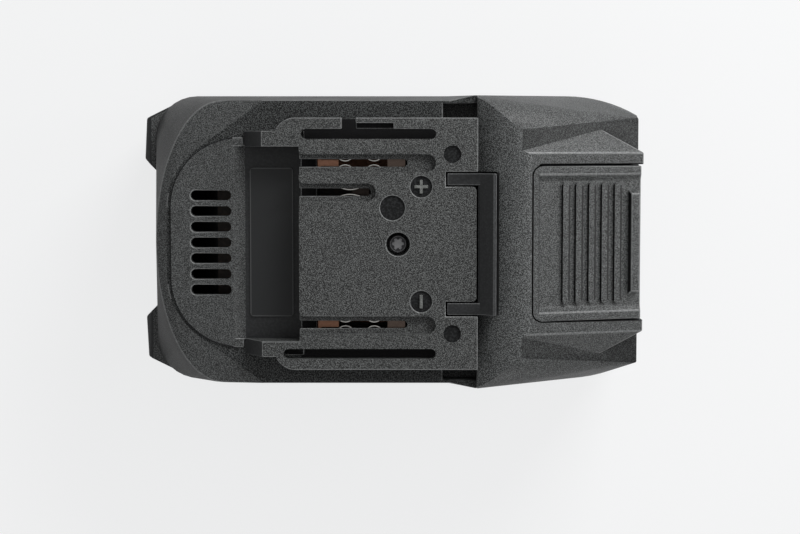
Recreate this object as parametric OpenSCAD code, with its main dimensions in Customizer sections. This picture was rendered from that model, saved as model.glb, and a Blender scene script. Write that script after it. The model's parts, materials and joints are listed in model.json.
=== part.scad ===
// Slide-on power tool battery pack: two housing shells, a terminal deck with undercut rails,
// a sprung release button with its latch hook, and the cell pack that they enclose.
// The base stands on z = 0, the deck faces +Z and the release button is at the +X end.

/* [Cells] */
// Diameter of one cell
cell_d = 18.5; // [18:0.1:19]
// Length of one cell
cell_l = 65; // [64:0.5:70]
// Gap between neighbouring cells
cell_gap = 0.4; // [0.3:0.1:1.5]
// Columns of cells along the pack
cell_columns = 5; // [5:1:6]
// Rim of the cell holders round the outermost cells
holder_rim = 0.8; // [0.6:0.1:2]
// Lip of the cell holders over the ends of the cells
holder_lip = 0.8; // [0.6:0.1:1.5]
// Depth to which a cell sits in its holder
holder_depth = 11; // [8:1:20]

/* [Housing] */
// Wall of the two housing shells
wall = 2.6; // [2:0.1:3]
// Floor of the base tub
floor_t = 2.5; // [2:0.1:4]
// Roof of the top cover below the terminal deck
roof_t = 2.5; // [2:0.1:3]
// Height of the parting line between base tub and top cover
parting_z = 40; // [38:0.5:42]
// Free space between the rear wall and the cells
rear_gap = 4.6; // [4.4:0.1:8]
// Length of the bay for the latch springs in front of the cells
front_bay = 21.7; // [21:0.1:30]
// Headroom above the circuit board
headroom = 12.9; // [11:0.1:16]
// Inward lean of each side wall from the parting line to the shoulder
flare = 1.5; // [1:0.1:3]
// Radius of the long sweep at the front corners
sweep_r = 38; // [34:1:60]
// Length of that sweep
sweep_l = 19; // [14:1:24]
// Radius of the rear corners of the shells
rear_r = 11; // [8:0.5:11.5]
// Projection of the corner bumpers behind the rear wall
bumper_d = 3.2; // [2:0.1:5]
// Distance of the bumpers from the middle plane
bumper_y = 17.8; // [14:0.1:22]

/* [Rear dome] */
// Height of the vented plateau above the shoulder
dome_h = 0.6; // [0.4:0.1:1.5]
// Half width of the plateau
dome_half_w = 26.75; // [24:0.25:30]
// Corner radius of the plateau
dome_r = 17.8; // [12:0.2:22]
// Setback of the plateau from the rear wall
dome_setback = 6; // [4:0.5:9]
// Setback of the outer arc from the rear wall
arc_setback = 2.2; // [1:0.1:4]
// Depth of the outer arc from rear to side
arc_l = 16.9; // [14:0.1:22]
// Fall from the plateau's foot to the outer arc
ring_drop = 1.6; // [1:0.1:4]
// Number of vent slots
vent_count = 7; // [3:2:7]
// Length of a vent slot
vent_l = 10.3; // [6:0.1:12]
// Width of a vent slot
vent_w = 2.5; // [1.5:0.1:3]
// Pitch of the vent slots
vent_pitch = 4; // [3.5:0.1:5]

/* [Terminal deck] */
// Length of the deck from its contact face to the latch
deck_l = 44.75; // [42:0.25:50]
// Height of the deck above the shoulder
deck_h = 8.5; // [8:0.1:10]
// Half width across the rail lips
rail_half_w = 31.6; // [30:0.1:33]
// Thickness of the rail lips
lip_t = 3.5; // [2.5:0.1:4]
// Half width of the web under the lips
web_half_w = 26; // [25.5:0.1:27]
// Length of the pocket in front of the contact face
pocket_l = 14.2; // [12:0.1:18]
// Half width of the pocket
pocket_half_w = 24.4; // [22:0.1:25]
// Depth of the pocket floor below the shoulder
pocket_drop = 1.4; // [1:0.1:4]
// Width of the shallow contact recesses
recess_w = 4.4; // [3:0.1:5]
// Depth of the shallow contact recesses
recess_d = 1.8; // [1:0.1:2.5]
// Width of the deep contact slots
slot_w = 1.9; // [1.2:0.1:2.5]
// Distance of the two power slots from the middle plane
power_y = 20.3; // [18:0.1:21]
// Distance of the charge slot from the middle plane
charge_y = 13; // [11:0.1:13.5]

/* [Nose and release] */
// Length of the nose in front of the deck
nose_l = 43.2; // [40:0.2:48]
// Radius of the rounded top corners of the nose
nose_r = 8; // [6:0.5:12]
// Drop of the front edge of the nose below the deck
nose_front_drop = 16.15; // [14:0.05:17]
// Fall of the ramp from the top of the nose to the deck's end
ramp_drop = 5; // [3:0.5:7]
// Half width of the release button
button_half_w = 19.5; // [17:0.1:21]
// Distance of the button from the deck
button_gap = 13.9; // [13.5:0.1:16]
// Drop of the button from its back to its front edge
button_drop = 9.6; // [6:0.1:11]
// Number of grip ribs on the button
rib_count = 5; // [3:1:6]
// Pitch of the grip ribs
rib_pitch = 3.57; // [3:0.01:4]
// Travel of the release
release_travel = 4; // [3:0.1:4.5]
// Half width of the latch hook
hook_half_w = 17.75; // [16:0.05:18.5]
// Height of the latch hook above the deck
hook_h = 3; // [2:0.1:4]
// Outer diameter of the latch springs
spring_d = 9; // [7:0.5:10]
// Wire of the latch springs
spring_wire = 1; // [0.8:0.1:1.2]
// Turns of each latch spring
spring_turns = 7; // [5:1:8]

/* [Fits] */
// Clearance round moving and dropped-in pieces
clear = 0.35; // [0.3:0.05:0.5]
// Clearance between the cells' insulators and the side walls
side_clear = 0.9; // [0.5:0.1:2]
// Thickness of the cell straps
strap_t = 0.3; // [0.2:0.05:0.5]
// Thickness of the side insulators
insulator_t = 0.4; // [0.2:0.1:0.8]
// Thickness of the circuit board
board_t = 1.6; // [1:0.2:2]
// Shank diameter of the screws
screw_d = 3; // [2.5:0.1:3.5]

/* [Hidden] */
$fn = 48;
cell_names = [for (i = [1 : 2 * cell_columns]) str("cell_", i < 10 ? "0" : "", i)];
// Segments on a quarter of a moulded corner, on the ramp and on its rolled crest
corner_n = 8;
ramp_n = 9;
crest_n = 3;
// Reach of a cut beyond the faces that it opens
over = 1;
// Thickness of the slabs and sections that a loft runs through
loft_t = 0.2;

// Stack of cells and what it sets
pitch = cell_d + cell_gap;
block_l = (cell_columns - 1) * pitch + cell_d + 2 * holder_rim;
block_h = pitch + cell_d + 2 * holder_rim;
pack_l = bumper_d + wall + rear_gap + block_l + front_bay + wall;
holder_y1 = cell_l / 2 + holder_lip;
half_w = holder_y1 + strap_t + insulator_t + side_clear + wall;
front_x = pack_l / 2;
rear_x = bumper_d - pack_l / 2;
block_x0 = rear_x + wall + rear_gap;
block_x1 = block_x0 + block_l;
block_z0 = floor_t + clear;
block_z1 = block_z0 + block_h;
board_lift = 2.5;
board_z = block_z1 + board_lift;
board_top = board_z + board_t;
shoulder_z = board_top + headroom + roof_t;
deck_z = shoulder_z + deck_h;
deck_x1 = front_x - nose_l;
deck_x0 = deck_x1 - deck_l;
top_half_w = half_w - flare;

// Corner bumpers
foot_chamfer = 1.5;
bumper_rake = 0.6;
bumper_corner = 5.8;
bumper_bend_l = 6.8;
bumper_bend_w = 1.15;
bumper_outline = [
    [rear_x + bumper_bend_l, bumper_y],
    [rear_x, bumper_y],
    [rear_x - bumper_d, bumper_y + bumper_d],
    [rear_x - bumper_d + bumper_rake, half_w - bumper_corner],
    [rear_x + bumper_bend_l, half_w - bumper_bend_w]];

// Rear dome and pocket
dome_z = shoulder_z + dome_h;
ring_lip = 0.6;
arc_z = shoulder_z - ring_drop;
pocket_z = shoulder_z - pocket_drop;
pocket_x0 = deck_x0 - pocket_l;
pocket_slope = 3;
pad_h = 0.4;
pad_half_w = 19;
pad_gap = 1.95;
pad_inset = 1.2;
pad_r = 1;
strip_ramp_l = 4.8;
shoulder_x0 = pocket_x0 + strip_ramp_l;
vent_gap = 3.4;
vent_x = pocket_x0 - vent_gap - vent_l / 2;
groove_end_l = 8.6;
groove_end_d = 6;
groove_rim = 0.8;

// Nose
nose_root_l = 7;
nose_draw = 0.2;
ramp_draw = 1.6;
nose_x0 = deck_x1 - nose_root_l;
nose_half_w = half_w - nose_draw;
ramp_l = 11;
ramp_x = deck_x1 + ramp_l;
ramp_half_w = half_w - ramp_draw;
nose_lean = 1.3;
front_half_w = half_w - sweep_r + sqrt(sweep_r * sweep_r - sweep_l * sweep_l);
front_draw = 0.8;
hollow_inset = 1.5;
front_top_half_w = front_half_w - front_draw;
front_top_z = deck_z - nose_front_drop;
hollow_half_w = front_half_w - wall - hollow_inset;

// Release button, in the slope that the bezel sets
button_x0 = deck_x1 + button_gap;
button_setback = 1.2;
button_x1 = front_x - button_setback;
button_slope = atan(button_drop / (button_x1 - button_x0));
crest_l = 2.4;
crest_x = ramp_x + crest_l;
crest_z = deck_z - crest_l * tan(button_slope) / 2;
bezel_half_w = 22.8;
bezel_setback = 0.6;
bezel_x1 = front_x - bezel_setback;
bezel_back_l = 4;
bezel_apex_y = 29;
bezel_apex_l = 11.4;
bezel_fall = 0.67;
bezel_t = 10;
button_lift = 0.3;
button_z = crest_z - (button_x0 - crest_x) * tan(button_slope) + button_lift;
button_l = (button_x1 - button_x0) / cos(button_slope);
button_r = 2.5;
button_skin = 2.4;
field_rim = 1.7;
field_d = 1.1;
field_slant = 2;
rib_x0 = 8.1;
rib_w = 1.5;
rib_h = 0.9;
rib_half_l = 15.3;
root = 0.5;
button_lip_l = 2.4;
button_lip_h = 1.9;
button_lip_half_w = 13.7;
button_lip_inset = 0.7;
button_lip_slant = 1.2;
skirt_drop = 2;

// Latch hook and the yoke that carries the button
hook_back_l = 7.7;
hook_front_l = 4.5;
hook_x0 = deck_x1 - hook_back_l;
hook_x1 = deck_x1 + hook_front_l;
hook_bar_l = 4.5;
hook_leg_w = 3;
hook_crest_l = 0.7;
hook_toe = 0.5;
tongue_r = 1.1;
yoke_t = 2.5;
yoke_drop = 18;
yoke_reach = 16;
yoke_z = deck_z - yoke_drop;
yoke_x1 = button_x0 + yoke_reach;
yoke_half_w = 16;
button_bottom_z = yoke_z + yoke_t;
holder_gap = 0.8;
spring_x = block_x1 + holder_gap + spring_d / 2 + clear;
spring_y = 10.5;
spring_l = 22;
spring_z = yoke_z - spring_l;
spring_seat_rim = 1;
spring_pin_h = 3;

// Screws
screw_head_rim = 1.1;
screw_head_d = screw_d + 2 * screw_head_rim;
screw_head_h = 2;
screw_head_edge = 0.6;
screw_tip_l = 1.5;
drive_d = 3.1;
drive_h = 1.3;
boss_rim = 1.2;
foot_boss_rim = 0.85;
bite = 0.6;
core_play = 0.2;
boss_d = screw_d + 2 * boss_rim;
foot_boss_d = screw_head_d + 2 * clear + 2 * foot_boss_rim;
pilot_d = screw_d - bite;
core_d = pilot_d - core_play;
rear_boss_y = 25;
front_boss_y = 26.5;
front_boss_inset = 5.2;
boss_drop = 10;
seat_drop = 8;
rear_boss = [block_x0 - clear - foot_boss_d / 2, rear_boss_y];
front_boss = [front_x - wall - front_boss_inset, front_boss_y];
boss_z = parting_z - boss_drop;
screw_seat_z = boss_z - seat_drop;
screw_l = 17;
deck_screw_inset = 20;
deck_screw_x = deck_x1 - deck_screw_inset;
deck_screw_l = 15;
deck_screw_sink = 2;
deck_boss_h = 9;

// Rails, lip slots and marks on the deck
strip_w = 3.9;
lead_l = 6;
lead_r = 5.5;
lip_slot_w = 2.5;
lip_slot_inset = 1.55;
lip_slot_end = 10.5;
lip_slot_left_start = 0.5;
lip_slot_right_start = -4;
key_start = 10.7;
lip_slot_y = web_half_w + lip_slot_inset;
lip_slot_x1 = deck_x1 - lip_slot_end;
lip_slot_left_x0 = deck_x0 + lip_slot_left_start;
lip_slot_right_x0 = deck_x0 + lip_slot_right_start;
key_x = deck_x0 + key_start;
key_l = 12.9;
key_notch_l = 3.5;
key_rim = 1.35;
key_d = 2.4;
mark_d = 0.6;
sign_inset = 14.2;
sign_x = deck_x1 - sign_inset;
sign_y = 14.4;
sign_r = 2.7;
charge_mark_inset = 21.4;
charge_mark_y = 9.1;
charge_mark = [deck_x1 - charge_mark_inset, charge_mark_y];
charge_mark_r = 3.1;
ejector_inset = 6.4;
ejector_x = deck_x1 - ejector_inset;
ejector_y = 22.5;
ejector_r = 2.2;

// Contacts, measured from the contact face
contact_t = 0.5;
leaf_t = 0.3;
contact_lift = 1.3;
chamber_play = 0.4;
contact_z0 = shoulder_z + contact_lift;
contact_h = 4;
contact_z1 = contact_z0 + contact_h;
chamber_w = 6.4;
chamber_l = 27;
chamber_top = contact_z1 + chamber_play;
hole_start = 4.2;
hole_x0 = deck_x0 + hole_start;
mouth_r = 1.2;
power_slot_l = 27.1;
power_recess_l = 34.2;
charge_slot_l = 18;
charge_recess_l = 19.2;
cheek_play = 0.6;
cheek_y = chamber_w / 2 - cheek_play;
power_leaves = [11.5, 18.75];
power_leaf_r = 2.4;
power_pinch = 0.35;
charge_leaves = [12.7];
charge_leaf_r = 6;
charge_pinch = 0.45;
leaf_lead = 0.6;
foot_l = 3.5;
foot_w = 3;
bridge_l = 4.5;
charge_play = 0.5;
power_end = chamber_l - chamber_play;
charge_end = charge_slot_l - charge_play;
bar_start = 5.4;
bar_x = deck_x0 + bar_start;
bar_w = 3;
bar_t = 0.8;
bar_foot_l = 4.4;
tongue_end = 9.8;
tongue_drop = 0.4;
tongue_x1 = deck_x0 + tongue_end;
tongue_w = 1.6;
tongue_z = contact_z1 - tongue_drop;

// Cells, holders and straps
cap_h = 1.6;
cap_r = 4;
cap_foot_r = 5;
cell_edge = 0.8;
cell_fit = 0.2;
window_rim = 2;
strap_margin = 6;
strap_tab_w = 4;
weld_d = 6;
insulator_end = 2.5;

// Circuit board
board_start = 9.5;
board_end_gap = 3;
board_side_gap = 2.5;
board_x0 = block_x0 + board_start;
board_x1 = hook_x0 - board_end_gap;
board_half_w = cell_l / 2 - board_side_gap;
peg_d = 2;
peg_foot_d = 5;
peg_inset = 5;
peg_fit = 0.4;
peg_x = [board_x0 + peg_inset, board_x1 - peg_inset];
peg_y = board_half_w - peg_inset;
fet_count = 4;
fet_pitch = 8;
fet_start = 13;
fet_y = -6;
fet_at = [board_x0 + fet_start, fet_y, board_top];
fet = [5.2, 6, 1.2];
chip_start = 18;
chip_y = 6;
chip_at = [board_x0 + chip_start, chip_y, board_top];
chip = [9, 9, 1.4];
plug_start = 33;
plug_y = 4;
plug_at = [board_x0 + plug_start, plug_y, board_top];
plug = [12, 5, 5];
capacitor_start = 10;
capacitor_y = 9;
capacitor_at = [board_x0 + capacitor_start, capacitor_y, board_top];
capacitor_d = 5;
capacitor_h = 6;
capacitor_pitch = 8;

// Outlines
// Mirrors one half of an outline to the other side of the middle plane
function both_sides(half) = concat(half, [for (i = [len(half) - 1 : -1 : 0]) [half[i][0], -half[i][1]]]);

// Sweep of a front corner, drawn in by t
function front_sweep(t) =
    let (end_a = asin((sweep_l - t) / (sweep_r - t)))
    [for (i = [0 : corner_n]) let (a = end_a * (1 - i / corner_n))
        [front_x - sweep_l + (sweep_r - t) * sin(a), half_w - sweep_r + (sweep_r - t) * cos(a)]];

// Rounded rear corner, drawn in by t
function rear_corner(t) = [for (i = [0 : corner_n]) let (a = 90 * i / corner_n)
    [rear_x + rear_r - (rear_r - t) * sin(a), half_w - rear_r + (rear_r - t) * cos(a)]];

// Outline of the shells at the parting line
function shell_outline(t) = both_sides(concat(front_sweep(t), rear_corner(t)));

// Outline of the shells behind x = x1 at the parting line
function rear_outline(t, x1) = both_sides(concat([[x1, half_w - t]], rear_corner(t)));

// Outline of the cover behind x = x1 at its outer arc, a half ellipse at the rear
function arc_outline(t, x1) = both_sides(concat([[x1, top_half_w - t]],
    [for (i = [0 : 2 * corner_n]) let (a = 90 * i / (2 * corner_n))
        [rear_x + arc_setback + arc_l - (arc_l - t) * sin(a), (top_half_w - t) * cos(a)]]));

// Rear curve of the vented plateau, grown by g
function dome_curve(g) = [for (i = [0 : 2 * corner_n]) let (a = 90 * i / (2 * corner_n))
    [rear_x + dome_setback + dome_r - (dome_r + g) * sin(a),
        dome_half_w - dome_r + (dome_r + g) * cos(a)]];

// Outline of the plateau
function dome_outline() = both_sides(concat([[pocket_x0 - clear, dome_half_w]], dome_curve(0)));

// Outline of the level shoulder behind x = x1, with the foot of the plateau, drawn in by t
function shoulder_outline(t, x1) = both_sides(concat(
    [[x1, top_half_w - t], [shoulder_x0, top_half_w - t]], dome_curve(ring_lip - t)));

// Cross-section of the nose with a half width of w at its rounded top corners
function nose_section(w) = both_sides(concat(
    [for (i = [0 : 2 * corner_n]) let (a = 90 * i / (2 * corner_n))
        [deck_z - nose_r + nose_r * cos(a), w - nose_r + nose_r * sin(a)]],
    [[parting_z, half_w]]));

// Cross-section of the nose where it goes on from the body
function nose_root() = both_sides([[shoulder_z, top_half_w], [shoulder_z - loft_t, top_half_w],
    [parting_z + loft_t, half_w], [parting_z, half_w]]);

// Cross-section of the nose at its front wall
function nose_front() = both_sides([[front_top_z, front_top_half_w], [parting_z, front_half_w]]);

// Space above the shoulder, the ramp and the crest that rolls over into the button's slope
function ramp_profile() =
    let (top = deck_z + 2 * deck_h)
    concat([[nose_x0 - over, top], [nose_x0 - over, shoulder_z], [deck_x1, shoulder_z]],
        [for (i = [ramp_n : -1 : 0]) let (u = i / ramp_n)
            [ramp_x - u * ramp_l, deck_z - ramp_drop * u * u]],
        [for (i = [1 : crest_n]) let (u = i / crest_n)
            [ramp_x + u * crest_l, deck_z - (deck_z - crest_z) * u * u]],
        [[crest_x, top]]);

// Helpers
// Thin slab of an outline, for lofting
module slab(points, z) {
    translate([0, 0, z])
        linear_extrude(loft_t)
            polygon(points);
}

// Cross-section of [z, y] points that runs back from x by l, thin where it serves a loft
module section(points, x, l = loft_t) {
    translate([x, 0, 0])
        rotate([0, -90, 0])
            linear_extrude(l)
                polygon(points);
}

// Prism with a profile of [x, z] points, across the pack
module across(points, half) {
    translate([0, half, 0])
        rotate([90, 0, 0])
            linear_extrude(2 * half)
                polygon(points);
}

// Box between two corners
module span(low, high) {
    translate(low)
        cube(high - low);
}

// Slot with round ends along X, centred
module slot(l, w, h) {
    linear_extrude(h) {
        square([l - w, w], center = true);
        for (s = [-1, 1])
            translate([s * (l - w) / 2, 0])
                circle(d = w);
    }
}

// What a rounded corner of radius r at its centre takes off the quadrant beyond it
module corner_cut(r) {
    difference() {
        square(r + over);
        circle(r);
    }
}

// Rectangle from x0 to x1 with rounded corners
module rounded(x0, x1, half, r) {
    translate([x0 + r, -half])
        square([x1 - x0 - 2 * r, 2 * half]);
    translate([x0, r - half])
        square([x1 - x0, 2 * (half - r)]);
    for (x = [x0 + r, x1 - r])
        for (s = [-1, 1])
            translate([x, s * (half - r)])
                circle(r);
}

// Children on both sides of the middle plane
module both() {
    children();
    mirror([0, 1, 0])
        children();
}

// Children on the side s of the middle plane
module on_side(s) {
    mirror([0, s < 0 ? 1 : 0, 0])
        children();
}

// Children at the four housing screws
module at_screws() {
    both() {
        translate(rear_boss)
            children();
        translate(front_boss)
            children();
    }
}

// Base tub
module base_tub() {
    color([0.13, 0.135, 0.14])
    difference() {
        union() {
            difference() {
                intersection() {
                    linear_extrude(parting_z) {
                        polygon(shell_outline(0));
                        both()
                            polygon(bumper_outline);
                    }
                    // Bevelled edges at the foot, and on top of the bumpers
                    across([[front_x, parting_z], [front_x, foot_chamfer], [front_x - foot_chamfer, 0],
                        [rear_x - bumper_d + foot_chamfer, 0], [rear_x - bumper_d, foot_chamfer],
                        [rear_x - bumper_d, parting_z - foot_chamfer],
                        [rear_x - bumper_d + foot_chamfer, parting_z]], half_w);
                    section(both_sides([[parting_z, half_w], [foot_chamfer, half_w],
                        [0, half_w - foot_chamfer]]), front_x, pack_l);
                }
                translate([0, 0, floor_t])
                    linear_extrude(parting_z)
                        polygon(shell_outline(wall));
            }
            at_screws()
                cylinder(d = foot_boss_d, h = boss_z);
            // Seats and pins of the latch springs
            both()
                translate([spring_x, spring_y, 0]) {
                    cylinder(d = spring_d + spring_seat_rim, h = spring_z);
                    cylinder(d = spring_d - 2 * spring_wire - 2 * clear, h = spring_z + spring_pin_h);
                }
        }
        at_screws() {
            translate([0, 0, -over])
                cylinder(d = screw_head_d + 2 * clear, h = screw_seat_z + over);
            cylinder(d = screw_d + 2 * clear, h = boss_z + over);
            translate([0, 0, boss_z])
                cylinder(d = boss_d + 2 * clear, h = parting_z);
        }
    }
}

// Top cover
// Raised surround of the button, with slanted sides and trimmed front corners
module bezel() {
    run = bezel_t / bezel_fall;
    intersection() {
        translate([crest_x, 0, crest_z])
            rotate([0, button_slope, 0])
                translate([-bezel_back_l, 0, 0])
                    rotate([90, 0, 90])
                        linear_extrude(nose_l)
                            polygon([[bezel_half_w, 0], [bezel_half_w + run, -bezel_t],
                                [-bezel_half_w - run, -bezel_t], [-bezel_half_w, 0]]);
        translate([0, 0, parting_z + bezel_t / 2])
            linear_extrude(deck_z)
                polygon(both_sides([[bezel_x1, bezel_half_w], [bezel_x1 - bezel_apex_l, bezel_apex_y],
                    [deck_x1, bezel_apex_y]]));
    }
}

// Lofted nose with its ramp towards the deck
module nose() {
    difference() {
        union() {
            hull() {
                slab(both_sides(concat(front_sweep(0), [[nose_x0, half_w]])), parting_z);
                section(nose_root(), nose_x0 + loft_t);
                section(nose_section(nose_half_w), deck_x1);
                section(nose_section(ramp_half_w), ramp_x);
                section(nose_front(), front_x - nose_lean);
            }
            bezel();
        }
        across(ramp_profile(), half_w + over);
    }
}

// Hollow of the nose over the cells, and a prism under its ramp, plateau and front slope
module nose_hollow() {
    x0 = nose_x0 - over;
    x1 = front_x - wall;
    z0 = parting_z - over;
    translate([0, 0, z0])
        linear_extrude(board_z + clear - z0)
            polygon(both_sides(concat(front_sweep(wall), [[x0, half_w - wall]])));
    across([[x0, z0], [x0, shoulder_z - roof_t], [deck_x1 + roof_t, shoulder_z - roof_t],
        [ramp_x, deck_z - 2 * roof_t], [ramp_x + wall, deck_z - 2 * roof_t],
        [x1, front_top_z - roof_t], [x1, z0]], hollow_half_w);
}

// Lofted rear and middle of the cover up to x1, drawn in by t with its roof drawn in by r
module body(t, r, x1) {
    hull() {
        slab(rear_outline(t, x1), parting_z);
        slab(arc_outline(t, x1), arc_z - r - loft_t);
        slab(shoulder_outline(t, x1), shoulder_z - r - loft_t);
    }
}

// Plan of the button, grown by g, with rounded corners at the deck end
module button_plan(g, x1) {
    r = button_r + g;
    difference() {
        translate([button_x0 - g, -button_half_w - g])
            square([x1 - button_x0 + g, 2 * (button_half_w + g)]);
        for (a = [90, 180])
            translate([button_x0 - g + r, (a == 90 ? 1 : -1) * (button_half_w + g - r)])
                rotate(a)
                    corner_cut(r);
    }
}

// Openings from the board into the deck's contact chambers
module contact_holes() {
    for (y = [power_y, -power_y, charge_y])
        span([hole_x0, y - chamber_w / 2, shoulder_z - roof_t - over],
            [deck_x0 + (y == charge_y ? charge_slot_l : chamber_l), y + chamber_w / 2, shoulder_z + over]);
}

module top_cover() {
    color([0.16, 0.165, 0.17])
    union() {
        difference() {
            union() {
                difference() {
                    union() {
                        body(0, 0, nose_x0);
                        nose();
                        translate([0, 0, shoulder_z - over])
                            linear_extrude(dome_h + over)
                                polygon(dome_outline());
                    }
                    difference() {
                        union() {
                            body(wall, roof_t, nose_x0 + over);
                            nose_hollow();
                        }
                        // Pocket floor, screw bosses and the boss for the deck screw stay
                        span([pocket_x0 - roof_t - pocket_slope, -half_w, pocket_z - roof_t],
                            [deck_x0 + roof_t, half_w, dome_z]);
                        at_screws()
                            translate([0, 0, parting_z - over])
                                cylinder(d = boss_d, h = deck_z);
                        translate([deck_screw_x, 0, shoulder_z - roof_t - deck_boss_h])
                            cylinder(d = boss_d, h = deck_boss_h + roof_t);
                        // Floor of the recess at the end of each rail groove
                        both()
                            span([deck_x1 - groove_end_l - roof_t, web_half_w - roof_t,
                                shoulder_z - groove_end_d - roof_t],
                                [ramp_x, half_w, deck_z]);
                    }
                }
                at_screws()
                    translate([0, 0, boss_z])
                        cylinder(d = boss_d, h = parting_z + loft_t - boss_z);
            }
            // Pocket in front of the contact face
            across([[pocket_x0 - pocket_slope, dome_z + loft_t], [pocket_x0, pocket_z], [deck_x0, pocket_z],
                [deck_x0, deck_z], [pocket_x0 - pocket_slope, deck_z]], pocket_half_w);
            // Recess at the end of each rail groove
            both()
                span([deck_x1 - groove_end_l, web_half_w, shoulder_z - groove_end_d],
                    [deck_x1, top_half_w - groove_rim, deck_z]);
            // Vents through the plateau
            for (i = [0 : vent_count - 1])
                translate([vent_x, (i - (vent_count - 1) / 2) * vent_pitch, shoulder_z - 2 * roof_t])
                    slot(vent_l, vent_w, 3 * roof_t);
            contact_holes();
            // Way for the latch hook and its yoke
            span([hook_x0 - over, -hook_half_w - clear, yoke_z],
                [hook_x1 + clear, hook_half_w + clear, deck_z + deck_h]);
            // Seat of the release button, open at the front
            translate([0, 0, button_bottom_z - release_travel - clear])
                linear_extrude(deck_z)
                    button_plan(clear, front_x + over);
            at_screws()
                translate([0, 0, boss_z - over])
                    cylinder(d = pilot_d, h = screw_l - (boss_z - screw_seat_z) + 2 * over);
            translate([deck_screw_x, 0, shoulder_z - roof_t - deck_boss_h - over])
                cylinder(d = pilot_d, h = deck_boss_h + roof_t + 2 * over);
        }
        // Raised pad on the pocket floor
        translate([0, 0, pocket_z - over])
            linear_extrude(pad_h + over)
                rounded(pocket_x0 + pad_inset, deck_x0 - pad_gap, pad_half_w, pad_r);
    }
}

// Terminal deck
// Stepped slot over a contact: recess with a rounded mouth, deep slot and chamber below
module contact_slot(y, recess_l, slot_l) {
    chamber_x1 = y == charge_y ? charge_slot_l : chamber_l;
    lead = 2 * recess_w;
    translate([deck_x0, y, 0]) {
        translate([(recess_l - lead) / 2, 0, deck_z - recess_d])
            slot(recess_l + lead, recess_w, deck_h);
        translate([(slot_l - lead) / 2, 0, shoulder_z - over])
            slot(slot_l + lead, slot_w, deck_h);
        span([-over, -chamber_w / 2, shoulder_z - over], [chamber_x1, chamber_w / 2, chamber_top]);
        both()
            translate([mouth_r, recess_w / 2 + mouth_r, deck_z - recess_d])
                rotate(180)
                    linear_extrude(deck_h)
                        corner_cut(mouth_r);
    }
}

// Outline of one rail lip with its curved lead-in at the contact end
module rail_plan() {
    strip_y = pocket_half_w + strip_w;
    lead_w = rail_half_w - strip_y;
    translate([deck_x0, 0])
        square([deck_l, rail_half_w]);
    translate([deck_x0 - lead_l, strip_y - over])
        difference() {
            square([lead_l + over, lead_w + over]);
            translate([lead_l - lead_r - over, over])
                difference() {
                    translate([-over, 0])
                        square([lead_r + over, lead_r]);
                    translate([lead_r, lead_w - lead_r])
                        circle(lead_r);
                }
        }
}

module terminal_deck() {
    color([0.2, 0.205, 0.205])
    difference() {
        union() {
            // Web and lips
            span([deck_x0, -web_half_w, shoulder_z], [deck_x1, web_half_w, deck_z]);
            both() {
                translate([0, 0, deck_z - lip_t])
                    linear_extrude(lip_t)
                        rail_plan();
                // Strip beside the pocket with its ramped end
                translate([0, pocket_half_w + strip_w / 2, 0])
                    across([[pocket_x0, shoulder_z], [pocket_x0, dome_z], [shoulder_x0, deck_z],
                        [deck_x0 + over, deck_z], [deck_x0 + over, shoulder_z]], strip_w / 2);
            }
        }
        contact_slot(power_y, power_recess_l, power_slot_l);
        contact_slot(-power_y, power_recess_l, power_slot_l);
        contact_slot(charge_y, charge_recess_l, charge_slot_l);
        // Long slots through the lips
        for (s = [[1, lip_slot_left_x0], [-1, lip_slot_right_x0]])
            translate([(s[1] + lip_slot_x1) / 2, s[0] * lip_slot_y, deck_z - lip_t - over])
                slot(lip_slot_x1 - s[1], lip_slot_w, lip_t + 2 * over);
        // Key pocket and notch in the lip on the positive side
        span([key_x, lip_slot_y, deck_z - key_d], [key_x + key_l, rail_half_w - key_rim, deck_z + over]);
        span([key_x, lip_slot_y + lip_slot_w / 2, deck_z - lip_t - over],
            [key_x + key_notch_l, rail_half_w + over, deck_z + over]);
        // Shallow discs for the polarity signs and the moulding marks
        both() {
            translate([sign_x, sign_y, deck_z - mark_d])
                cylinder(r = sign_r, h = deck_h);
            translate([ejector_x, ejector_y, deck_z - mark_d])
                cylinder(r = ejector_r, h = deck_h);
        }
        translate([charge_mark[0], charge_mark[1], deck_z - mark_d])
            cylinder(r = charge_mark_r, h = deck_h);
        // Way of the latch hook round a tongue with rounded corners
        translate([0, 0, shoulder_z - over])
            linear_extrude(deck_h + 2 * over)
                both() {
                    translate([hook_x0 - clear, hook_half_w - hook_leg_w - clear])
                        square([deck_x1 + over - hook_x0 + clear, hook_leg_w + 2 * clear]);
                    translate([hook_x1 - hook_bar_l - clear, -over])
                        square([hook_bar_l, hook_half_w + over]);
                    translate([hook_x1 - hook_bar_l - clear - tongue_r,
                        hook_half_w - hook_leg_w - clear - tongue_r])
                        corner_cut(tongue_r);
                }
        // Sunk hole for the deck screw
        translate([deck_screw_x, 0, shoulder_z - over])
            cylinder(d = screw_d + 2 * clear, h = deck_h);
        translate([deck_screw_x, 0, deck_z - deck_screw_sink - screw_head_h])
            cylinder(d = screw_head_d + 2 * clear, h = deck_h);
    }
}

// Release button
// Children laid on the sloping top of the button, with x measured from its back edge
module on_button() {
    translate([button_x0, 0, button_z])
        rotate([0, button_slope, 0])
            children();
}

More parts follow.
